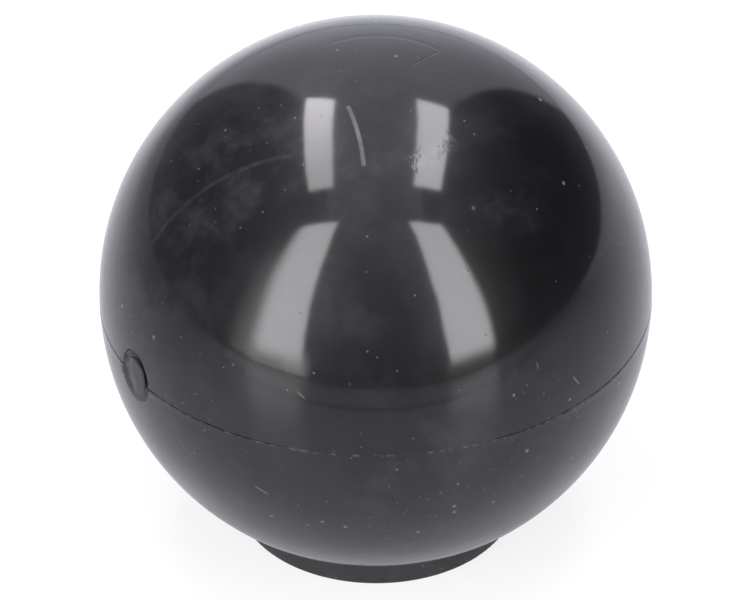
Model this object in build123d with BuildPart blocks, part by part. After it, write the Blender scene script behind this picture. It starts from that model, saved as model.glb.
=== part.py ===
"""Case opening friction ball: a soft, air-filled rubber ball on a short round foot.

The ball is pressed on a watch's screw back and turned by hand, so that friction unscrews the back.
It is two rubber half shells cemented together at the equator, a hard foot whose mushroom-headed
spigot is held in the lower shell's collar, and a self-sealing air valve that sits across the seam.

Frame: millimetres, +Z up, origin at the centre of the foot's resting plane. The valve's direction
is given by its azimuth, counterclockwise from +X, and its elevation above the equator.
"""

import os
from math import acos, asin, degrees, sqrt

from build123d import *

# ---- Driving dimensions -------------------------------------------------------------------------

# Ball
ball_diameter = 65.0
wall_thickness = 5.0

# Equator joint: a tongue on the upper shell sits in a rebate of the lower shell
tongue_depth = 4.0
tongue_thickness = 2.5
cement_gap = 0.05  # film of rubber cement between curved mating faces
tongue_end_gap = 0.2

# Ridge of moulding flash left along the seam, half of it on each shell
flash_height = 0.15
flash_width = 0.6

# Collar round the lower shell's polar hole
collar_thickness = 5.0
collar_fillet = 1.5

# Foot
foot_diameter = 33.9
foot_side_height = 2.9
foot_edge_radius = 0.35
foot_rim_width = 3.0
foot_recess_depth = 1.2
foot_recess_fillet = 0.4
neck_diameter = 16.0
head_diameter = 22.0
head_height = 3.6
head_land = 1.2  # straight part of the head's side, below its lead-in
head_lead_in = 2.0

# Air valve
valve_azimuth = 212.3
valve_elevation = 0.4
valve_barrel_diameter = 6.1
valve_sink = 0.5  # how far the valve body stops below the ball's surface
valve_flange_diameter = 12.0
valve_flange_thickness = 1.6
valve_nose_length = 5.0
valve_nose_tip_diameter = 4.6
valve_nose_fillet = 0.6
plug_head_diameter = 4.4
plug_head_thickness = 1.6
plug_stem_diameter = 2.4
plug_tip_cover = 1.5  # nose material left beyond the plug's tip
plug_clearance = 0.05
plug_edge_radius = 0.3

# ---- Places worked out from them ------------------------------------------------------------------

ball_radius = ball_diameter / 2
inner_radius = ball_radius - wall_thickness
foot_radius = foot_diameter / 2

seat_drop = sqrt(ball_radius**2 - foot_radius**2)  # ball centre down to the foot's top face
seat_z = foot_side_height
centre_z = seat_z + seat_drop
floor_z = seat_z + collar_thickness

tongue_radius = inner_radius + tongue_thickness
rebate_radius = tongue_radius + cement_gap
tongue_end_z = centre_z - tongue_depth
ledge_z = tongue_end_z - tongue_end_gap

neck_radius = neck_diameter / 2
collar_hole_radius = neck_radius + cement_gap

valve_hole_radius = valve_barrel_diameter / 2 + cement_gap
valve_direction = Vector(1, 0, 0).rotate(Axis.Y, -valve_elevation).rotate(Axis.Z, valve_azimuth)
valve_side = Vector(0, 1, 0).rotate(Axis.Z, valve_azimuth)  # level, square to the valve's axis
valve_axis = Axis((0, 0, centre_z), valve_direction)
valve_profile_plane = Plane(origin=(0, 0, centre_z), x_dir=valve_direction, z_dir=valve_side)
valve_hole_plane = Plane(origin=(0, 0, centre_z), z_dir=valve_direction).offset(inner_radius / 2)

ball_centre = (0, centre_z)  # in the XZ profile plane
crest = (ball_radius + flash_height, centre_z)
flash_angle = degrees(asin(flash_width / 2 / ball_radius))


def sphere_reach(radius, z):
    """Distance from the Z axis to a sphere of this radius round the ball's centre, at height z."""
    return sqrt(radius**2 - (z - centre_z) ** 2)


def sphere_angle(radius, z):
    """Angle above the equator, in degrees, of the point of that sphere at height z."""
    return degrees(asin((z - centre_z) / radius))


# ---- Upper half shell: the gripping side ----------------------------------------------------------

with BuildPart() as upper_half_shell:
    with BuildSketch(Plane.XZ):
        with BuildLine():
            outer = CenterArc(ball_centre, ball_radius, flash_angle, 90 - flash_angle)
            tongue_angle = sphere_angle(inner_radius, tongue_end_z)
            inner = CenterArc(ball_centre, inner_radius, tongue_angle, 90 - tongue_angle)
            Polyline(
                outer @ 0,
                crest,
                (tongue_radius, centre_z),
                (tongue_radius, tongue_end_z),
                inner @ 0,
            )
            Line(inner @ 1, outer @ 1)
        make_face()
    revolve(axis=Axis.Z)
    with BuildSketch(valve_hole_plane):
        Circle(valve_hole_radius)
    extrude(amount=ball_radius, mode=Mode.SUBTRACT)
upper_half_shell.part.label = "upper_half_shell"

# ---- Lower half shell: rebated rim, flat seat and collar for the foot -----------------------------

with BuildPart() as lower_half_shell:
    with BuildSketch(Plane.XZ):
        with BuildLine():
            seat_angle = -degrees(acos(foot_radius / ball_radius))
            outer = CenterArc(ball_centre, ball_radius, -flash_angle, seat_angle + flash_angle)
            floor_angle = sphere_angle(inner_radius, floor_z)
            ledge_angle = sphere_angle(inner_radius, ledge_z)
            inner = CenterArc(ball_centre, inner_radius, floor_angle, ledge_angle - floor_angle)
            Polyline(
                outer @ 0,
                crest,
                (rebate_radius, centre_z),
                (rebate_radius, ledge_z),
                inner @ 1,
            )
            Polyline(
                outer @ 1,
                (collar_hole_radius, seat_z),
                (collar_hole_radius, floor_z),
                inner @ 0,
            )
        make_face()
    revolve(axis=Axis.Z)
    floor_reach = sphere_reach(inner_radius, floor_z)
    collar_corner = lower_half_shell.edges().filter_by(
        lambda e: e.geom_type == GeomType.CIRCLE
        and abs(e.radius - floor_reach) < 1e-3
        and abs(e.center().Z - floor_z) < 1e-3
    )
    fillet(collar_corner, collar_fillet)
    with BuildSketch(valve_hole_plane):
        Circle(valve_hole_radius)
    extrude(amount=ball_radius, mode=Mode.SUBTRACT)
lower_half_shell.part.label = "lower_half_shell"

# ---- Foot: flange, neck through the collar and mushroom head inside the ball ----------------------

head_top_z = floor_z + head_height
recess_radius = foot_radius - foot_rim_width

with BuildPart() as foot:
    with BuildSketch(Plane.XZ):
        with BuildLine():
            Polyline(
                (recess_radius, 0),
                (foot_radius, 0),
                (foot_radius, seat_z),
                (neck_radius, seat_z),
                (neck_radius, floor_z),
                (head_diameter / 2, floor_z),
                (head_diameter / 2, floor_z + head_land),
                (head_diameter / 2 - head_lead_in, head_top_z),
                (0, head_top_z),
                (0, foot_recess_depth),
                (recess_radius, foot_recess_depth),
                close=True,
            )
        make_face()
    revolve(axis=Axis.Z)
    rings = foot.edges().filter_by(GeomType.CIRCLE)
    recess_corner = rings.filter_by_position(Axis.Z, foot_recess_depth, foot_recess_depth)
    fillet(recess_corner, foot_recess_fillet)
    fillet(foot.edges().filter_by(GeomType.CIRCLE).group_by(Axis.Z)[0], foot_edge_radius)
foot.part.label = "foot"

# ---- Valve body: barrel across the seam, flange inside the ball, tapered nose ---------------------

body_top = ball_radius - valve_sink
barrel_radius = valve_barrel_diameter / 2
flange_radius = valve_flange_diameter / 2
flange_seat_radius = inner_radius - cement_gap
flange_rim = sqrt(flange_seat_radius**2 - flange_radius**2)
flange_back = flange_rim - valve_flange_thickness
nose_tip = flange_back - valve_nose_length
plug_seat = ball_radius - plug_head_thickness
plug_tip = nose_tip + plug_tip_cover
head_bore_radius = plug_head_diameter / 2 + plug_clearance
stem_bore_radius = plug_stem_diameter / 2 + plug_clearance

with BuildPart() as valve_body:
    with BuildSketch(valve_profile_plane):
        with BuildLine():
            seat_start = degrees(asin(barrel_radius / flange_seat_radius))
            seat_end = degrees(asin(flange_radius / flange_seat_radius))
            flange_seat = CenterArc((0, 0), flange_seat_radius, seat_start, seat_end - seat_start)
            Polyline(
                flange_seat @ 1,
                (flange_back, flange_radius),
                (flange_back, barrel_radius),
                (nose_tip, valve_nose_tip_diameter / 2),
                (nose_tip, 0),
                (plug_tip - plug_clearance, 0),
                (plug_tip - plug_clearance, stem_bore_radius),
                (plug_seat, stem_bore_radius),
                (plug_seat, head_bore_radius),
                (body_top, head_bore_radius),
                (body_top, barrel_radius),
                flange_seat @ 0,
            )
        make_face()
    revolve(axis=valve_axis)
    nose_rim = valve_body.edges().filter_by(GeomType.CIRCLE).sort_by(valve_axis)[0]
    fillet(nose_rim, valve_nose_fillet)
valve_body.part.label = "valve_body"

# ---- Valve plug: its domed head is flush with the ball, its stem seals in the body ----------------

with BuildPart() as valve_plug:
    with BuildSketch(valve_profile_plane):
        with BuildLine():
            head_angle = degrees(asin(plug_head_diameter / 2 / ball_radius))
            dome = CenterArc((0, 0), ball_radius, 0, head_angle)
            Polyline(
                dome @ 1,
                (plug_seat, plug_head_diameter / 2),
                (plug_seat, plug_stem_diameter / 2),
                (plug_tip, plug_stem_diameter / 2),
                (plug_tip, 0),
                dome @ 0,
            )
        make_face()
    revolve(axis=valve_axis)
    rings = valve_plug.edges().filter_by(GeomType.CIRCLE).sort_by(valve_axis)
    fillet([rings[0], rings[-1]], plug_edge_radius)
valve_plug.part.label = "valve_plug"

# ---- Output ---------------------------------------------------------------------------------------

os.makedirs("parts", exist_ok=True)
for piece in (upper_half_shell, lower_half_shell, foot, valve_body, valve_plug):
    export_step(piece.part, f"parts/{piece.part.label}.step")
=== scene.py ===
"""Looks of the case opening friction ball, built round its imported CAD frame.

The two half shells and the valve get dense meshes of their own, and the foot keeps the frame's. All
get procedural rubber. Lengths are in metres unless a comment says otherwise. Angles are in degrees: a
longitude counts from the front, -Y, towards +X, and a latitude counts up from the seam.
"""

from math import asin, cos, degrees, pi, radians, sin, sqrt

import bpy
import numpy as np
from mathutils import Matrix, Vector


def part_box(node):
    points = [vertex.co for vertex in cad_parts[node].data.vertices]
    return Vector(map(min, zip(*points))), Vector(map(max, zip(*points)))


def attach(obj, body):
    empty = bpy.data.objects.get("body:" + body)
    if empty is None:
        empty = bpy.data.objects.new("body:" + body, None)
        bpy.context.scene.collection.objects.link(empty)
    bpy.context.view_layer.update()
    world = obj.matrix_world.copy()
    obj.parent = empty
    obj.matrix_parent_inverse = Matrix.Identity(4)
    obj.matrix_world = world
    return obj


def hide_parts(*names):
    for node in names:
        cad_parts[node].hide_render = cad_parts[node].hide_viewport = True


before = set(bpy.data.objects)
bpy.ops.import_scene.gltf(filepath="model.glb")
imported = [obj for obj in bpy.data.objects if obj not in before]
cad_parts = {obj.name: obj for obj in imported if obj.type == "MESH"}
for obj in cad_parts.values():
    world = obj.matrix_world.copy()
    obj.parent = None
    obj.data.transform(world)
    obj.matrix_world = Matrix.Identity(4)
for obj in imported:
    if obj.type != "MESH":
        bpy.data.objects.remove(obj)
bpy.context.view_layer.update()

MM = 0.001

# ---- Sizes from the frame -------------------------------------------------------------------------

upper_low, upper_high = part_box("upper_half_shell")

CAD_FLASH = 0.15 * MM  # height of the seam's ridge in the frame
WALL = 5 * MM
BALL_R = (upper_high.x - upper_low.x) / 2 - CAD_FLASH
INNER_R = BALL_R - WALL
CENTRE = Vector((0, 0, upper_high.z - BALL_R))
SEAT_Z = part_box("lower_half_shell")[0].z  # the flat under the ball that the foot closes
SEAT_LAT = degrees(asin((SEAT_Z - CENTRE.z) / BALL_R))
COLLAR_R = 8.05 * MM  # the collar's bore, round the foot's neck
FLOOR_Z = SEAT_Z + 5 * MM  # top of the collar inside the ball

VALVE_LON = -58.2
VALVE_LAT = 0.4
VALVE_HOLE_R = 3.1 * MM


def direction(lon, lat):
    """Unit vectors for longitudes and latitudes in degrees, as an array with a last axis of 3."""
    lon, lat = np.radians(lon), np.radians(lat)
    return np.stack([np.cos(lat) * np.sin(lon), -np.cos(lat) * np.cos(lon), np.sin(lat)], axis=-1)


VALVE_OUT = direction(np.array(VALVE_LON), np.array(VALVE_LAT))
VALVE_EAST = np.array([cos(radians(VALVE_LON)), sin(radians(VALVE_LON)), 0.0])
VALVE_UP = np.cross(VALVE_OUT, VALVE_EAST)

# ---- Mesh helpers ---------------------------------------------------------------------------------


def add_mesh(name, verts, faces, uvs=None, sharp=()):
    """A smooth mesh object; sharp lists rings of vertex numbers whose edges stay sharp."""
    mesh = bpy.data.meshes.new(name)
    mesh.from_pydata([tuple(v) for v in verts], [], faces)
    if uvs is not None:
        layer = mesh.uv_layers.new(name="OFBake")
        layer.data.foreach_set("uv", np.asarray(uvs, np.float32).ravel())
    mesh.polygons.foreach_set("use_smooth", [True] * len(mesh.polygons))
    ring_of = np.full(len(verts), -1)
    for k, ring in enumerate(sharp):
        ring_of[ring] = k
    ends = np.empty(2 * len(mesh.edges), np.int32)
    mesh.edges.foreach_get("vertices", ends)
    a, b = ring_of[ends.reshape(-1, 2)].T
    mesh.edges.foreach_set("use_edge_sharp", ((a == b) & (a >= 0)).tolist())
    mesh.update()
    obj = bpy.data.objects.new(name, mesh)
    bpy.context.scene.collection.objects.link(obj)
    return obj


def waves(points, rng, count, length, amplitude):
    """Smooth random relief: plane waves of about that length, in metres, summed to that amplitude."""
    total = np.zeros(points.shape[:-1])
    for _ in range(count):
        way = rng.normal(size=3)
        way *= 2 * pi / (length * rng.uniform(0.7, 1.4)) / np.linalg.norm(way)
        total += np.sin(points @ way + rng.uniform(0, 2 * pi))
    return total * amplitude / sqrt(count / 2)


def smooth_step(x):
    """A smooth step from 0 to 1 while x goes from 0 to 1."""
    x = np.clip(x, 0, 1)
    return x * x * (3 - 2 * x)


# ---- Half shells ----------------------------------------------------------------------------------

HOLE_COLUMNS = 56
ROUND_COLUMNS = 500
hole_angle = degrees(asin(VALVE_HOLE_R / BALL_R))


def rim_wobble(turn):
    """The hole's rim is a little out of round: a factor on its radius."""
    return 1 + 0.03 * np.sin(2 * turn - 1.2) + 0.025 * np.sin(3 * turn - 3.0)


def hole_rim(turn):
    """Longitude offset and latitude of the valve hole's rim; turn is counted from east, upward."""
    reach = hole_angle * rim_wobble(turn)
    return reach * np.cos(turn), VALVE_LAT + reach * np.sin(turn)


def rim_columns(side):
    """Longitudes and latitudes of a shell's rim columns, once round; side is 1 for the upper shell."""
    turns = np.linspace(0, pi, 721) * side
    offsets, lats = hole_rim(turns)
    beyond = lats * side > 0
    inside = np.flatnonzero(beyond)
    picks = inside[np.linspace(0, len(inside) - 1, HOLE_COLUMNS).round().astype(int)]
    hole_lon, hole_lat = offsets[picks], lats[picks]
    order = np.argsort(hole_lon)
    hole_lon, hole_lat = hole_lon[order], hole_lat[order]
    step = (360 - (hole_lon[-1] - hole_lon[0])) / ROUND_COLUMNS
    round_lon = hole_lon[-1] + step * np.arange(1, ROUND_COLUMNS)
    lon = np.concatenate([hole_lon, round_lon]) + VALVE_LON
    lat = np.concatenate([hole_lat, np.zeros(ROUND_COLUMNS - 1)])
    return lon, lat


FLUSH_MIDDLE = 3.0  # longitude of the middle of the stretch where the seam is rubbed flush
FLUSH_HALF = 19.0  # half of that stretch, in degrees
FLUSH_FADE = 7.0  # degrees beyond it over which the seam turns crisp


def seam_state(lon):
    """How crisp the seam is at those longitudes, 0 to 1: it is rubbed almost flush round the front."""
    rng = np.random.default_rng(41)
    around = np.radians(lon)
    ragged = sum(
        rng.uniform(0.3, 1) * np.sin(around * k + rng.uniform(0, 2 * pi)) / 6
        for k in (5, 9, 14, 23, 37, 58, 91)
    )
    from_front = (lon + 180) % 360 - 180
    from_flush = np.abs(from_front - FLUSH_MIDDLE + 4 * ragged) - FLUSH_HALF
    return smooth_step(from_flush / FLUSH_FADE) * np.clip(1 + 0.6 * ragged, 0.3, 1.4)


# Reliefs of the outer surface, each a height and a reach in millimetres.
SWELL = (0.015, 0.30)  # the upper shell's rim
GROOVE = (0.09, 0.10)  # cut into it along the seam
GROOVE_TRACE = 0.002  # what is left of the groove where the seam is rubbed flush
RIDGE = (0.03, 0.24)  # along the lower shell's rim
RIDGE_OFFSET = 0.34  # the ridge's distance from the seam
DISH = (0.07, 0.24)  # at the lower left of the valve hole


def surface(lon, lat, side):
    """Points of the ball's outer surface, with its faint waviness, its seam and the valve's dished rim."""
    out = direction(lon, lat)
    rng = np.random.default_rng(7)
    relief = waves(out * BALL_R, rng, 14, 16 * MM, 0.006 * MM)
    relief += waves(out * BALL_R, rng, 14, 6 * MM, 0.0018 * MM)
    away = np.abs(np.radians(lat)) * BALL_R / MM  # distance from the seam, in millimetres
    crisp = seam_state(lon)
    if side > 0:
        relief += SWELL[0] * crisp * MM * np.exp(-((away / SWELL[1]) ** 2))
        relief -= (GROOVE_TRACE + GROOVE[0] * crisp) * MM * np.exp(-((away / GROOVE[1]) ** 2))
    else:
        relief += RIDGE[0] * crisp * MM * np.exp(-(((away - RIDGE_OFFSET) / RIDGE[1]) ** 2))
    from_valve = np.arccos(np.clip(out @ VALVE_OUT, -1, 1)) * BALL_R - VALVE_HOLE_R
    lower_left = smooth_step(0.4 - (out @ VALVE_EAST + out @ VALVE_UP) * BALL_R / (6 * MM))
    dish = DISH[0] * lower_left * MM
    relief -= dish * np.exp(-((np.maximum(from_valve, 0) / (DISH[1] * MM)) ** 2))
    return np.array(CENTRE) + out * (BALL_R + relief)[..., None]


# Distances of a shell's first rows from its rim, in millimetres.
NEAR_ROWS = np.array([0, 0.05, 0.11, 0.18, 0.27, 0.38, 0.52, 0.7, 0.95, 1.3, 1.75])
WALL_ROWS = 22  # rows along the inside of the wall


def shell(name, side):
    """One closed half shell: rows run over the outside from the rim, then back along the inside."""
    closed = side > 0  # the upper shell ends in a pole, the lower one in the foot's seat
    lon, rim_lat = rim_columns(side)
    cols = len(lon)
    near = np.degrees(NEAR_ROWS * MM / BALL_R)
    last = 90.0 if closed else -SEAT_LAT
    far = np.linspace(near[-1], last, 92 if closed else 62)[1:]
    rows_lat = np.concatenate([near, far])
    share = rows_lat / last
    lats = rim_lat + (side * last - rim_lat) * share[:, None]
    lats[: len(near)] = rim_lat + side * near[:, None]
    blend = smooth_step((rows_lat - near[-1]) / 25)[:, None]
    plain = side * rows_lat[:, None]
    blended = (1 - blend) * (rim_lat + plain) + blend * plain
    lats = np.where(rows_lat[:, None] > near[-1], blended, lats)
    lats = np.clip(lats * side, None, last) * side
    rows = [surface(lon, lat, side) for lat in lats]
    around = np.radians(lon)
    centre = np.array(CENTRE)

    def ring(radius, z):
        return np.stack([radius * np.sin(around), -radius * np.cos(around), np.full(cols, z)], axis=1)

    def uv_ring(reach, at=(0.5, 0.5)):
        return np.stack([at[0] + reach * np.sin(around), at[1] - side * reach * np.cos(around)], axis=1)

    # The rim's inner edge: straight in along the valve's axis inside the hole, level elsewhere.
    rim = rows[0] - centre
    inner_rim = rim * (INNER_R / BALL_R)
    in_hole = np.abs(rim_lat) > 0
    across = rim @ VALVE_EAST
    up = rim @ VALVE_UP
    depth = np.sqrt(np.maximum(INNER_R**2 - across**2 - up**2, 0))
    straight = across[:, None] * VALVE_EAST + up[:, None] * VALVE_UP + depth[:, None] * VALVE_OUT
    inner_rim = np.where(in_hole[:, None], straight, inner_rim) + centre
    inner_lat = np.degrees(np.arcsin((inner_rim - centre)[:, 2] / INNER_R))
    inner_lon = np.degrees(np.arctan2((inner_rim - centre)[:, 0], -(inner_rim - centre)[:, 1]))

    # The inside, and the places in the UV map: the outside fills it, and the rest lies small in its
    # middle or in a corner.
    uv_rows = [uv_ring(0.492 * (1 - np.abs(lat) / 90)) for lat in lats]
    inside, inside_uv = [], []
    corner = (0.075, 0.075) if closed else (0.5, 0.5)
    inner_last = 90.0 if closed else -degrees(asin((FLOOR_Z - CENTRE.z) / INNER_R))
    for s in np.linspace(0, 1, WALL_ROWS):
        lat = inner_lat + (side * inner_last - inner_lat) * s
        inside.append(centre + direction(inner_lon, lat) * INNER_R)
        inside_uv.append(uv_ring(0.07 * (1 - s if closed else 1 - 0.8 * s), corner))
    verts, faces, loops = [], [], []

    def strip(a, b, uva, uvb):
        """Quads between two rings of vertex numbers, wound so that they face outward."""
        for c in range(cols):
            d = (c + 1) % cols
            quad = [a[c], a[d], b[d], b[c]] if closed else [a[c], b[c], b[d], a[d]]
            uv = [uva[c], uva[d], uvb[d], uvb[c]] if closed else [uva[c], uvb[c], uvb[d], uva[d]]
            faces.append(quad)
            loops.extend(uv)

    def add(ring_points):
        """Adds a ring's points and returns their vertex numbers."""
        start = len(verts)
        verts.extend(ring_points)
        return list(range(start, start + cols))

    def fan(ring_ids, tip, uvr, uvt, outward):
        """Triangles from a ring to a tip, facing outward or into the ball."""
        for c in range(cols):
            d = (c + 1) % cols
            tri = [ring_ids[c], ring_ids[d], tip] if outward else [ring_ids[d], ring_ids[c], tip]
            uv = [uvr[c], uvr[d], uvt] if outward else [uvr[d], uvr[c], uvt]
            faces.append(tri)
            loops.extend(uv)

    outer_ids = [add(r) for r in (rows[:-1] if closed else rows)]
    for i in range(len(outer_ids) - 1):
        strip(outer_ids[i], outer_ids[i + 1], uv_rows[i], uv_rows[i + 1])
    if closed:
        verts.append(rows[-1][0])
        fan(outer_ids[-1], len(verts) - 1, uv_rows[len(outer_ids) - 1], np.array([0.5, 0.5]), True)
    inner_ids = [add(r) for r in (inside[:-1] if closed else inside)]
    for i in range(len(inner_ids) - 1):
        strip(inner_ids[i + 1], inner_ids[i], inside_uv[i + 1], inside_uv[i])
    if closed:
        verts.append(inside[-1][0])
        fan(inner_ids[-1], len(verts) - 1, inside_uv[len(inner_ids) - 1], np.array(corner), False)
    else:
        seat = [ring(COLLAR_R, SEAT_Z), ring(COLLAR_R, FLOOR_Z)]
        seat_ids = [add(r) for r in seat]
        seat_uv = [uv_ring(0.12), uv_ring(0.09)]
        strip(outer_ids[-1], seat_ids[0], uv_rows[-1], seat_uv[0])
        strip(seat_ids[0], seat_ids[1], seat_uv[0], seat_uv[1])
        strip(seat_ids[1], inner_ids[-1], seat_uv[1], inside_uv[-1])
    edge = (0.925, 0.075)
    strip(inner_ids[0], outer_ids[0], uv_ring(0.05, edge), uv_ring(0.07, edge))
    return add_mesh(name, verts, faces, loops, sharp=(outer_ids[0], inner_ids[0]))


upper = shell("ball_upper", 1)
lower = shell("ball_lower", -1)
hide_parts("upper_half_shell")
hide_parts("lower_half_shell")
for piece in (upper, lower):
    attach(piece, "root")


# ---- Valve ----------------------------------------------------------------------------------------

TURNS = 144
turn = np.linspace(0, 2 * pi, TURNS, endpoint=False)  # counted from east, upward


def lathe(name, rings):
    """A closed body round the valve's axis from (radius, height) rings, outer end first; a height is
    counted from the ball's centre along the axis, and either may vary with the turn."""
    verts, faces = [], []
    for radius, height in rings:
        radius, height = np.broadcast_to(radius, TURNS), np.broadcast_to(height, TURNS)
        across = np.cos(turn)[:, None] * VALVE_EAST + np.sin(turn)[:, None] * VALVE_UP
        verts.extend(np.array(CENTRE) + radius[:, None] * across + height[:, None] * VALVE_OUT)
    for k in range(len(rings) - 1):
        for c in range(TURNS):
            d = (c + 1) % TURNS
            faces.append((k * TURNS + c, (k + 1) * TURNS + c, (k + 1) * TURNS + d, k * TURNS + d))
    for k, (_, height) in ((0, rings[0]), (len(rings) - 1, rings[-1])):
        verts.append(np.array(CENTRE) + np.mean(height) * VALVE_OUT)
        for c in range(TURNS):
            rim = (k * TURNS + c, k * TURNS + (c + 1) % TURNS)
            faces.append((*(rim if k == 0 else rim[::-1]), len(verts) - 1))
    return add_mesh(name, verts, faces)


def on_ball(radius, depth):
    """Height along the valve's axis of a place that lies so deep under the ball's surface."""
    return np.sqrt(BALL_R**2 - np.square(radius)) - depth


def bump_at(middle, spread):
    """A smooth rise of 1 at that turn, in degrees."""
    return np.exp((np.cos(turn - radians(middle)) - 1) / radians(spread) ** 2)


PLUG_R = 2.62 * MM
SOCKET_R = PLUG_R + 0.015 * MM
SOCKET_Z = BALL_R - 2.0 * MM  # the plug's socket ends so far out along the valve's axis
barrel_r = (VALVE_HOLE_R - 0.02 * MM) * rim_wobble(turn)
CREASE_TURN = radians(36)  # where the crease beside the plug is deepest
CREASE_DEPTH = 0.60  # in millimetres
# Hollows of the valve's face: east and up of its middle, reach and depth, all in millimetres.
HOLLOWS = ((-2.0, 1.3, 0.8, 0.26), (-2.1, -0.6, 0.9, 0.24), (-1.1, -1.8, 0.8, 0.16))


def face_depth(radius):
    """Depth of the valve's face under the ball's surface: soft hollows on its far side and a crease
    by the plug's edge on the near side."""
    east, up = radius * np.cos(turn) / MM, radius * np.sin(turn) / MM
    depth = 0.03 + 0.06 * bump_at(60, 75)
    inward = smooth_step((VALVE_HOLE_R - radius) / (0.6 * MM))
    for x, y, reach, deep in HOLLOWS:
        depth += inward * deep * np.exp(-((east - x) ** 2 + (up - y) ** 2) / reach**2)
    crease = np.clip(1.25 * bump_at(degrees(CREASE_TURN), 34), 0, 1) + 0.15 * bump_at(95, 22)
    depth += CREASE_DEPTH * crease * smooth_step((radius / MM - 2.12) / 0.10)
    return depth * MM


face_rings = [
    (0.4 * PLUG_R, SOCKET_Z),
    (SOCKET_R, SOCKET_Z),
    (SOCKET_R, on_ball(SOCKET_R, face_depth(SOCKET_R) + 0.03 * MM)),
    (SOCKET_R + 0.01 * MM, on_ball(SOCKET_R, face_depth(SOCKET_R) + 0.004 * MM)),
]
for share in (0.12, 0.35, 0.55, 0.75, 0.9):
    radius = SOCKET_R + share * (barrel_r - SOCKET_R)
    face_rings.append((radius, on_ball(radius, face_depth(radius))))
face_rings += [
    (barrel_r - 0.02 * MM, on_ball(barrel_r, face_depth(barrel_r) + 0.01 * MM)),
    (barrel_r, on_ball(barrel_r, face_depth(barrel_r) + 0.05 * MM)),
    (barrel_r, INNER_R * 0.994),
    (3.4 * MM, INNER_R * 0.992),
    (5.7 * MM, sqrt(INNER_R**2 - (5.7 * MM) ** 2)),
    (6.0 * MM, sqrt(INNER_R**2 - (6.0 * MM) ** 2) - 0.3 * MM),
    (6.0 * MM, INNER_R - 1.9 * MM),
    (5.7 * MM, INNER_R - 2.1 * MM),
    (3.3 * MM, INNER_R - 2.1 * MM),
    (3.0 * MM, INNER_R - 2.4 * MM),
    (2.4 * MM, INNER_R - 6.3 * MM),
    (1.8 * MM, INNER_R - 6.8 * MM),
]
valve_face = lathe("valve_face", face_rings)
PLUG_SHARES = (
    0.08, 0.2, 0.32, 0.44, 0.54, 0.63, 0.71, 0.78, 0.82, 0.835, 0.848, 0.862, 0.89, 0.93, 0.97, 0.987
)
plug_rings = [
    (share * PLUG_R, on_ball(share * PLUG_R, face_depth(share * PLUG_R))) for share in PLUG_SHARES
]
plug_rings += [
    (0.997 * PLUG_R, on_ball(PLUG_R, face_depth(PLUG_R) + 0.004 * MM)),
    (PLUG_R, on_ball(PLUG_R, face_depth(PLUG_R) + 0.03 * MM)),
    (PLUG_R, BALL_R - 1.75 * MM),
    (0.9 * PLUG_R, BALL_R - 1.9 * MM),
]
valve_disc = lathe("valve_disc", plug_rings)
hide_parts("valve_body")
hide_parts("valve_plug")
for piece in (valve_face, valve_disc):
    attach(piece, "root")

# ---- Rubber ---------------------------------------------------------------------------------------


class Net:
    """Short calls for building a node tree; a value is a number or another node's output."""

    def __init__(self, tree):
        self.tree = tree

    def node(self, kind, **settings):
        node = self.tree.nodes.new(kind)
        for key, value in settings.items():
            setattr(node, key, value)
        return node

    def put(self, socket, value):
        """Links another node's output to a socket, or sets the socket to a number."""
        if isinstance(value, bpy.types.NodeSocket):
            self.tree.links.new(value, socket)
        else:
            socket.default_value = value

    def math(self, operation, *values, clamp=False):
        node = self.node("ShaderNodeMath", operation=operation, use_clamp=clamp)
        for socket, value in zip(node.inputs, values):
            self.put(socket, value)
        return node.outputs["Value"]

    def vector(self, operation, a, b=None, out="Vector"):
        node = self.node("ShaderNodeVectorMath", operation=operation)
        self.put(node.inputs[0], a)
        if b is not None:
            self.put(node.inputs[1], b)
        return node.outputs[out]

    def step(self, value, low, high, to_low=0.0, to_high=1.0):
        """A smooth step from to_low to to_high while the value goes from low to high."""
        node = self.node("ShaderNodeMapRange", interpolation_type="SMOOTHSTEP")
        for key, number in (
            ("Value", value), ("From Min", low), ("From Max", high), ("To Min", to_low), ("To Max", to_high)
        ):
            self.put(node.inputs[key], number)
        return node.outputs["Result"]

    def noise(self, place, size, detail=3.0, roughness=0.55):
        """Noise from 0 to 1 with features of about that size in metres."""
        node = self.node("ShaderNodeTexNoise")
        self.put(node.inputs["Vector"], place)
        self.put(node.inputs["Scale"], 0.5 / size)
        self.put(node.inputs["Detail"], detail)
        self.put(node.inputs["Roughness"], roughness)
        return node.outputs[0]

    def specks(self, place, cell, radius, share):
        """Round specks of up to that radius, one in some of the cells; share is how many, 0 to 1."""
        node = self.node("ShaderNodeTexVoronoi")
        self.put(node.inputs["Vector"], place)
        self.put(node.inputs["Scale"], 1 / cell)
        chance = self.node("ShaderNodeSeparateColor")
        self.put(chance.inputs[0], node.outputs["Color"])
        there = self.math("LESS_THAN", chance.outputs[0], share)
        size = self.math("MULTIPLY_ADD", chance.outputs[1], 0.6 * radius / cell, 0.4 * radius / cell)
        near = self.step(self.math("DIVIDE", node.outputs["Distance"], size), 0.15, 1.0, 1.0, 0.0)
        return self.math("MULTIPLY", there, near)

    def blend(self, mask, a, b):
        """Colour a where the mask is 0 and colour b where it is 1."""
        node = self.node("ShaderNodeMix", data_type="RGBA")
        self.put(node.inputs[0], mask)
        for socket, value in zip((node.inputs[6], node.inputs[7]), (a, b)):
            self.put(socket, value if isinstance(value, bpy.types.NodeSocket) else (*value, 1))
        return node.outputs[2]


LINE_FADE = 0.0004  # how soon a line's ends fade in, as a change of the cosine from its middle


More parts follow.
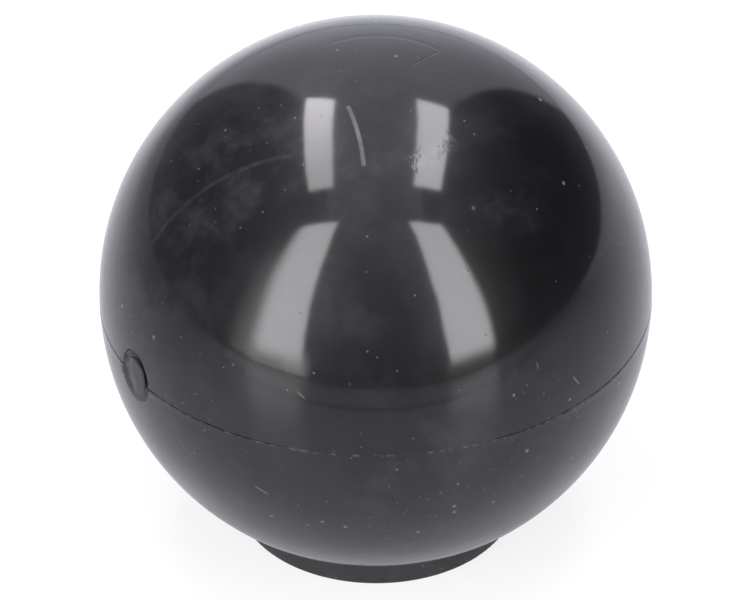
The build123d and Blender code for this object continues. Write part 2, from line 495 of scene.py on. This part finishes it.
def line_on_ball(net, outward, ends, width, middle=None):
    """Mask of a thin line on the ball between two (longitude, latitude) places, straight or through
    a third; its width is in metres."""
    a, c = (direction(np.array(float(lon)), np.array(float(lat))) for lon, lat in ends)
    b = direction(*(np.array(float(v)) for v in middle)) if middle else None
    normal = np.cross(a, c) if b is None else np.cross(b - a, c - a)
    normal /= np.linalg.norm(normal)
    halfway = (a + c) / np.linalg.norm(a + c)
    off = net.vector("DOT_PRODUCT", outward, tuple(normal), "Value")
    off = net.math("ABSOLUTE", net.math("SUBTRACT", off, float(a @ normal)))
    across = net.step(off, 0.25 * width / BALL_R, 0.6 * width / BALL_R, 1.0, 0.0)
    reach = float(a @ halfway)
    along = net.step(net.vector("DOT_PRODUCT", outward, tuple(halfway), "Value"), reach, reach + LINE_FADE)
    return net.math("MULTIPLY", across, along)


# Colours of what lies on the rubber, and the painted shade for the valve's crease.
DUST = (0.115, 0.115, 0.110)
# Lint, and painted glints along the seam.
LINT_AND_GLINT = (0.065, 0.065, 0.062)
FIBRE = (0.12, 0.12, 0.11)
SCRATCH = (0.11, 0.11, 0.11)
ARC = (0.03, 0.03, 0.03)
SMEAR = (0.030, 0.031, 0.033)
# Painted shade, not a colour of the rubber: it darkens the crease beside the valve's plug.
CREASE_SHADE = (0.003, 0.003, 0.003)

# Marks on the ball, each by the longitude and latitude of both ends, and of a middle if it bends.
FIBRE_ENDS = (
    ((-26.1, -12.4), (-22.7, -14.2)),
    ((-16.3, 13.2), (-14.1, 11.5)),
    ((34.5, 14.4), (34.6, 12.0)),
    ((43.2, 7.4), (45.0, 4.5)),
)
SCRATCH_LINE = ((-18.4, 73.1), (-4.1, 59.2)), (-9.2, 67.7)
ARC_LINE = ((-62, 29), (-32.9, 58.9)), (-53.2, 47.2)
CREASE_LINES = (
    (((-125.0, 79.6), (106.0, 75.9)), (163.0, 81.8)),
    (((105.0, 76.0), (58.5, 81.6)), None),
)
SMEAR_LINE = ((12.5, 59.0), (36.0, 62.3)), (21.8, 60.6)


def mark_ball(net, place, outward, colour, height):
    """Adds the ball's marks to a colour and a height, and returns both."""
    # Lint in the seam, with painted glints: its pale specks also stand in for glints along the seam's
    # edges.
    split = net.node("ShaderNodeSeparateXYZ")
    net.put(split.inputs[0], place)
    beside = net.math("ABSOLUTE", net.math("SUBTRACT", split.outputs["Z"], CENTRE.z - 0.06 * MM))
    lint_and_glint = net.math("MULTIPLY", net.step(beside, 0.05 * MM, 0.26 * MM, 1.0, 0.0),
                    net.step(net.noise(place, 0.4 * MM, 3.0, 0.6), 0.50, 0.60))
    colour = net.blend(net.math("MULTIPLY", lint_and_glint, 0.5), colour, LINT_AND_GLINT)
    fuzz = net.math("MULTIPLY", net.step(beside, 0.1 * MM, 0.4 * MM, 1.0, 0.0),
                    net.noise(place, 0.12 * MM, 2.0))
    height = net.math("MULTIPLY_ADD", fuzz, 0.02, height)

    # Short lint fibres on the surface.
    for ends in FIBRE_ENDS:
        fibre = line_on_ball(net, outward, ends, 0.22 * MM)
        colour = net.blend(net.math("MULTIPLY", fibre, 0.7), colour, FIBRE)

    # A pale scratch, and a fainter arc to the left of it, both broken up a little.
    broken = net.step(net.noise(place, 1.2 * MM, 3.0), 0.35, 0.65)
    scratch = line_on_ball(net, outward, SCRATCH_LINE[0], 0.36 * MM, SCRATCH_LINE[1])
    scratch = net.math("MULTIPLY", scratch, net.math("MULTIPLY_ADD", broken, 0.35, 0.45))
    colour = net.blend(scratch, colour, SCRATCH)
    arc = line_on_ball(net, outward, ARC_LINE[0], 0.5 * MM, ARC_LINE[1])
    arc = net.math("MULTIPLY", arc, net.math("MULTIPLY_ADD", broken, 0.35, 0.2))
    colour = net.blend(arc, colour, ARC)

    # A fine crease on top, and a smear below it on the right.
    creases = [line_on_ball(net, outward, ends, 0.34 * MM, middle) for ends, middle in CREASE_LINES]
    height = net.math("MULTIPLY_ADD", net.math("MAXIMUM", *creases), -0.020, height)
    smear = line_on_ball(net, outward, SMEAR_LINE[0], 2.4 * MM, SMEAR_LINE[1])
    smear = net.math("MULTIPLY", smear, net.step(net.noise(place, 1.1 * MM, 5.0, 0.7), 0.45, 0.62))
    colour = net.blend(net.math("MULTIPLY", smear, 0.8), colour, SMEAR)
    rough_smear = net.math("MULTIPLY", smear, net.noise(place, 0.3 * MM, 2.0))
    return colour, net.math("MULTIPLY_ADD", rough_smear, 0.010, height)


def crease_shade_mask(net, place):
    """Mask of the painted shade in the crease beside the valve's plug, where its gap lies in shade."""
    from_centre = net.vector("SUBTRACT", place, tuple(CENTRE))
    east = net.vector("DOT_PRODUCT", from_centre, tuple(VALVE_EAST), "Value")
    up = net.vector("DOT_PRODUCT", from_centre, tuple(VALVE_UP), "Value")
    reach = net.math("SQRT", net.math("MULTIPLY_ADD", east, east, net.math("MULTIPLY", up, up)))
    toward = net.math("MULTIPLY_ADD", east, cos(CREASE_TURN), net.math("MULTIPLY", up, sin(CREASE_TURN)))
    return net.math("MULTIPLY", net.step(reach, 2.02 * MM, 2.14 * MM), net.step(toward, 1.1 * MM, 2.0 * MM))


def rubber(name, base, film, roughness, coat, coat_roughness, film_share, dust_share,
           marked=False, creased=False):
    """Black rubber with a cloudy film, dust specks, worn patches and a fine grain. The ball's is
    marked, and the valve's has painted shade in its crease: darker and less coated there."""
    mat = bpy.data.materials.new(name)
    mat.use_nodes = True
    net = Net(mat.node_tree)
    bsdf = mat.node_tree.nodes["Principled BSDF"]
    place = net.node("ShaderNodeTexCoord").outputs["Object"]
    outward = net.vector("NORMALIZE", net.vector("SUBTRACT", place, tuple(CENTRE)))

    # Film: clouds of a few millimetres inside larger patches, thickest on the upper front.
    patches = net.step(net.noise(place, 15 * MM, 2.0), 0.38, 0.62)
    clouds = net.step(net.noise(place, 2.4 * MM, 6.0, 0.66), 0.42, 0.70)
    veil = net.math("MULTIPLY", net.math("MULTIPLY_ADD", patches, 0.85, 0.15), clouds)
    handled = net.vector("DOT_PRODUCT", outward, tuple(direction(-14.0, 34.0)), "Value")
    veil = net.math("MULTIPLY", veil, net.step(handled, 0.45, 0.95, 0.35 * film_share, film_share))
    colour = net.blend(veil, base, film)

    # Dust: fine and coarse specks that gather in places.
    rise = net.vector("DOT_PRODUCT", outward, (0.0, 0.0, 1.0), "Value")
    settled = net.step(rise, -0.2, 0.5, dust_share, 0.3 * dust_share)
    gather = net.math("MULTIPLY", net.step(net.noise(place, 7 * MM, 3.0), 0.46, 0.72), settled)
    share = net.math("MULTIPLY_ADD", settled, 0.38, net.math("MULTIPLY", gather, 0.9))
    fine = net.specks(place, 1.0 * MM, 0.21 * MM, share)
    coarse = net.specks(place, 2.1 * MM, 0.40 * MM, share)
    dust = net.math("MAXIMUM", net.math("MULTIPLY", fine, 0.6), coarse)
    colour = net.blend(dust, colour, DUST)

    # Relief, in millimetres.
    grain = net.math("MULTIPLY", net.noise(place, 0.25 * MM, 2.0), 0.0006)
    swell = net.math("MULTIPLY", net.noise(place, 2.4 * MM, 2.0), 0.010)
    height = net.math("MULTIPLY_ADD", dust, 0.02, net.math("ADD", grain, swell))

    if marked:
        colour, height = mark_ball(net, place, outward, colour, height)
    if creased:
        # Painted shade in the crease beside the plug: a darker colour and a thinner coat, so its gap reads
        # as shaded.
        crease_shade = crease_shade_mask(net, place)
        colour = net.blend(crease_shade, colour, CREASE_SHADE)
        coat = net.math("MULTIPLY_ADD", crease_shade, -coat, coat)

    worn = net.math("MULTIPLY_ADD", net.noise(place, 4 * MM, 4.0), 0.16, roughness - 0.08)
    bump = net.node("ShaderNodeBump")
    for key, value in (("Strength", 1.0), ("Distance", MM), ("Height", height)):
        net.put(bump.inputs[key], value)
    for key, value in (
        ("Base Color", colour), ("Roughness", net.math("MULTIPLY_ADD", dust, 0.4, worn, clamp=True)),
        ("Normal", bump.outputs["Normal"]), ("Coat Normal", bump.outputs["Normal"]),
        ("IOR", 1.5), ("Specular IOR Level", 0.12), ("Coat Weight", coat),
        ("Coat Roughness", coat_roughness), ("Coat IOR", 1.5),
    ):
        net.put(bsdf.inputs[key], value)
    return mat


ball_rubber = rubber(
    "ball_rubber", (0.0034, 0.0034, 0.0038), (0.0168, 0.0178, 0.0202), 0.36, 0.80, 0.085, 1.0, 1.0,
    marked=True
)
foot_rubber = rubber(
    "foot_rubber", (0.0190, 0.0190, 0.0196), (0.042, 0.043, 0.045), 0.42, 0.70, 0.18, 0.9, 1.3
)
valve_rubber = rubber(
    "valve_rubber", (0.0180, 0.0182, 0.0195), (0.050, 0.051, 0.055), 0.50, 0.50, 0.26, 1.0, 0.8,
    creased=True
)
for piece, material in (
    (upper, ball_rubber), (lower, ball_rubber), (valve_face, valve_rubber), (valve_disc, valve_rubber)
):
    piece.data.materials.append(material)
for material_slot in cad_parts["foot"].material_slots:
    material_slot.material = foot_rubber

# ---- Stage ----------------------------------------------------------------------------------------


def plane(name, size, z):
    """A level square of the stage, of that size and at that height."""
    mesh = bpy.data.meshes.new(name)
    h = size / 2
    mesh.from_pydata([(-h, -h, z), (h, -h, z), (h, h, z), (-h, h, z)], [], [(0, 1, 2, 3)])
    obj = bpy.data.objects.new(name, mesh)
    bpy.context.scene.collection.objects.link(obj)
    return obj


def seen_or_lit(net, seen, lit):
    """A value for what the camera sees of the stage itself, and one for its light on the object."""
    by_camera = net.node("ShaderNodeLightPath").outputs["Is Camera Ray"]
    if isinstance(seen, tuple):
        return net.blend(by_camera, lit, seen)
    node = net.node("ShaderNodeMix", data_type="FLOAT")
    net.put(node.inputs[0], by_camera)
    net.put(node.inputs[2], lit)
    net.put(node.inputs[3], seen)
    return node.outputs[0]


# The table. To the camera it is white round the object and pale grey further out. What the rubber
# mirrors of it is a sheet that ends a step in front of the object, and a table top that ends further
# out and dims with the distance.
WHITE = (1.0, 1.0, 1.0)
COOL = (0.97, 0.98, 1.09)
TABLE_EDGE = -0.39  # its place along Y, as for the sheet
SHEET_EDGE = -0.167
floor = plane("floor", 8.0, -0.05 * MM)
floor_mat = bpy.data.materials.new("floor")
floor_mat.use_nodes = True
net = Net(floor_mat.node_tree)
place = net.node("ShaderNodeTexCoord").outputs["Object"]
split = net.node("ShaderNodeSeparateXYZ")
net.put(split.inputs[0], place)
floor_x, floor_y, _ = split.outputs
away = net.vector("LENGTH", place, out="Value")
# The share of the table's light, lower beyond its edge, at the sheet's edge and on the left behind.
on_table = net.step(floor_y, TABLE_EDGE - 0.005, TABLE_EDGE + 0.005, 0.3, 1.0)
line = net.step(net.math("ABSOLUTE", net.math("SUBTRACT", floor_y, SHEET_EDGE)), 0.003, 0.014, 0.45, 1.0)
dim = net.math("MULTIPLY", net.step(floor_x, -0.30, -0.03, 0.5, 0.0), net.step(floor_y, -0.10, 0.12))
lit_share = net.math("MULTIPLY", on_table, line)
lit_share = net.math("MULTIPLY", lit_share, net.math("SUBTRACT", 1.0, dim))
lit_glow = net.math("ADD", net.step(away, 0.0, 0.5, 0.35, 0.19), net.step(floor_y, 0.0, 0.25, 0.0, 0.4))
seen_glow = net.step(away, 0.17, 0.50, 0.80, 0.57)
for key, seen, lit in (
    ("Base Color", 0.18, net.math("MULTIPLY", lit_share, 0.29)),
    ("Roughness", 0.9, 0.3),
    ("Specular IOR Level", 0.0, net.math("MULTIPLY", lit_share, 0.26)),
    ("Emission Color", WHITE, COOL),
    ("Emission Strength", seen_glow, net.math("MULTIPLY", lit_share, lit_glow)),
):
    net.put(floor_mat.node_tree.nodes["Principled BSDF"].inputs[key], seen_or_lit(net, seen, lit))
floor.data.materials.append(floor_mat)


LAMP = (1.0, 0.975, 1.0)


def softbox(name, centre, across, along, width, length, radiance, margins, longer=(0.0, 0.0)):
    """A glowing panel, longer by these lengths on its left and its right side. Its radiance runs from
    the first to the second value along its length, and it turns clear over its margins: left, right,
    bottom and top, as shares of its width or length."""
    mesh = bpy.data.meshes.new(name)
    w, h = width / 2, length / 2
    left, right = longer
    mesh.from_pydata([(-w, -h, 0), (w, -h, 0), (w, h + right, 0), (-w, h + left, 0)], [], [(0, 1, 2, 3)])
    obj = bpy.data.objects.new(name, mesh)
    x, y = Vector(across).normalized(), Vector(along).normalized()
    turned = Matrix((x, y, x.cross(y))).transposed().to_4x4()
    obj.matrix_world = Matrix.Translation(Vector(centre)) @ turned
    obj.visible_camera = False
    obj.visible_shadow = False
    bpy.context.scene.collection.objects.link(obj)
    mat = bpy.data.materials.new(name)
    mat.use_nodes = True
    net = Net(mat.node_tree)
    split = net.node("ShaderNodeSeparateXYZ")
    net.put(split.inputs[0], net.node("ShaderNodeTexCoord").outputs["Object"])
    u = net.math("MULTIPLY_ADD", split.outputs["X"], 1 / width, 0.5)
    reach = net.math("MULTIPLY_ADD", u, right - left, length + left)
    v = net.math("DIVIDE", net.math("ADD", split.outputs["Y"], h), reach)
    solid = 1.0
    sides = (u, net.math("SUBTRACT", 1.0, u), v, net.math("SUBTRACT", 1.0, v))
    for side, margin in zip(sides, margins):
        solid = net.math("MULTIPLY", solid, net.step(side, 0.0, margin))
    emission = net.node("ShaderNodeEmission")
    net.put(emission.inputs["Color"], (*LAMP, 1))
    net.put(emission.inputs["Strength"], net.step(v, 0.0, 1.0, *radiance))
    mix = net.node("ShaderNodeMixShader")
    net.put(mix.inputs[0], solid)
    net.put(mix.inputs[1], net.node("ShaderNodeBsdfTransparent").outputs[0])
    net.put(mix.inputs[2], emission.outputs[0])
    net.put(mat.node_tree.nodes["Material Output"].inputs["Surface"], mix.outputs[0])
    mesh.materials.append(mat)


# The panels' axes: level ones run from left to right, then away from the camera or upward.
RIGHT, AWAY, UP = (1, 0, 0), (0, 1, 0), (0, 0, 1)
OVERHEAD = CENTRE.z + 0.4
# Two bars overhead, running front to back, the left one slanted.
softbox("top_bar_left", (-0.1370, 0.07, OVERHEAD), (1, -0.045, 0), (0.045, 1, 0), 0.084, 0.345,
        (8.4, 13.6), (0.06, 0.10, 0.05, 0.04), longer=(0.035, -0.02))
softbox("top_bar_right", (0.1415, 0.061, OVERHEAD), RIGHT, AWAY, 0.089, 0.327,
        (10.4, 10.2), (0.10, 0.06, 0.05, 0.04))
# Two upright bars, left and right of the camera.
softbox("front_bar_left", (-0.408, -0.45, CENTRE.z + 0.425), RIGHT, UP, 0.35, 0.89,
        (9.5, 9.5), (0.40, 0.07, 0.10, 0.03))
softbox("front_bar_right", (0.363, -0.45, CENTRE.z + 0.432), (1, 0, 0.02), (-0.02, 0, 1), 0.277, 0.875,
        (9.3, 9.3), (0.05, 0.20, 0.08, 0.03))
# A faint spill beside the left one.
softbox("spill_left", (-0.60, -0.47, CENTRE.z + 0.40), RIGHT, UP, 0.54, 0.86,
        (2.7, 0.8), (0.75, 0.05, 0.03, 0.40))
# Faint glows under both.
softbox("glow_low_left", (-0.42, -0.475, 0.06), RIGHT, UP, 0.42, 0.115,
        (3.8, 3.8), (0.35, 0.12, 0.02, 0.60))
softbox("glow_low_right", (0.37, -0.475, 0.06), RIGHT, UP, 0.30, 0.115,
        (0.75, 0.75), (0.10, 0.20, 0.02, 0.60))

# The room: a pale band runs from the front over the ceiling between the bars to the pale back wall,
# and both sides are dark. To the camera it is an even pale grey.
world = bpy.data.worlds.new("studio")
world.use_nodes = True
bpy.context.scene.world = world
net = Net(world.node_tree)
split = net.node("ShaderNodeSeparateXYZ")
net.put(split.inputs[0], net.node("ShaderNodeTexCoord").outputs["Generated"])
room_x, room_y, room_z = split.outputs
over = net.math("DIVIDE", net.math("ARCTAN2", room_z, net.math("MULTIPLY", room_y, -1.0)), pi)
band = net.node("ShaderNodeValToRGB")
band.color_ramp.interpolation = "EASE"
# Half the band's radiance by the angle from the front horizon, 0, over the zenith to the back one, 1.
BAND_STOPS = (
    (0.0, 0.11), (0.17, 0.16), (0.34, 0.215), (0.42, 0.37), (0.5, 0.43), (0.56, 0.42), (0.62, 0.36),
    (0.71, 0.43), (0.76, 0.50), (0.88, 0.46), (1.0, 0.43),
)
while len(band.color_ramp.elements) < len(BAND_STOPS):
    band.color_ramp.elements.new(0.5)
for element, (at, shade) in zip(band.color_ramp.elements, BAND_STOPS):
    element.position = at
    element.color = (shade, shade, shade, 1)
net.put(band.inputs[0], over)
# The band reaches a little further on the right behind, and is dimmer beside its middle there.
wider = net.math("MULTIPLY", net.step(room_x, 0.0, 0.3, 0.0, 0.045), net.step(room_y, 0.2, 0.6))
from_middle = net.math("ABSOLUTE", net.math("SUBTRACT", room_x, wider))
aside = net.math("MULTIPLY_ADD", net.math("MULTIPLY", room_z, room_z), 0.18, from_middle)
beside = net.math("MULTIPLY", net.step(from_middle, 0.05, 0.42, 0.0, -0.35), net.step(room_y, 0.70, 0.95))
in_band = net.math("MULTIPLY", net.step(aside, 0.44, 0.48, 2.0, 0.0), net.math("ADD", beside, 1.0))
sides = net.math("ADD", net.step(room_x, -0.9, 0.5, 0.20, 0.03), net.step(room_z, 0.4, 0.95, 0.0, 0.2))
level = net.math("MULTIPLY_ADD", in_band, band.outputs["Color"], sides)
background = world.node_tree.nodes["Background"]
net.put(background.inputs["Strength"], seen_or_lit(net, 0.76, level))
net.put(background.inputs["Color"], seen_or_lit(net, WHITE, COOL))

# ---- Camera ---------------------------------------------------------------------------------------

CAMERA_ELEVATION = 34.2
CAMERA_DISTANCE = 14.0 * BALL_R
CAMERA_ROLL = -0.45
SENSOR = 36.0
LENS = 185.2

camera = bpy.data.cameras.new("camera")
camera.sensor_width = SENSOR
camera.lens = LENS
camera.shift_x, camera.shift_y = -0.0009, -0.0122
camera.clip_start, camera.clip_end = 0.01, 20
camera_obj = bpy.data.objects.new("camera", camera)
e = radians(CAMERA_ELEVATION)
back = Vector((0, -cos(e), sin(e)))
camera_obj.rotation_mode = "QUATERNION"
camera_obj.location = CENTRE + back * CAMERA_DISTANCE
aim = (-back).to_track_quat("-Z", "Y") @ Matrix.Rotation(radians(CAMERA_ROLL), 3, "Z").to_quaternion()
camera_obj.rotation_quaternion = aim
bpy.context.scene.collection.objects.link(camera_obj)
bpy.context.scene.camera = camera_obj
bpy.context.scene.view_settings.view_transform = "Standard"
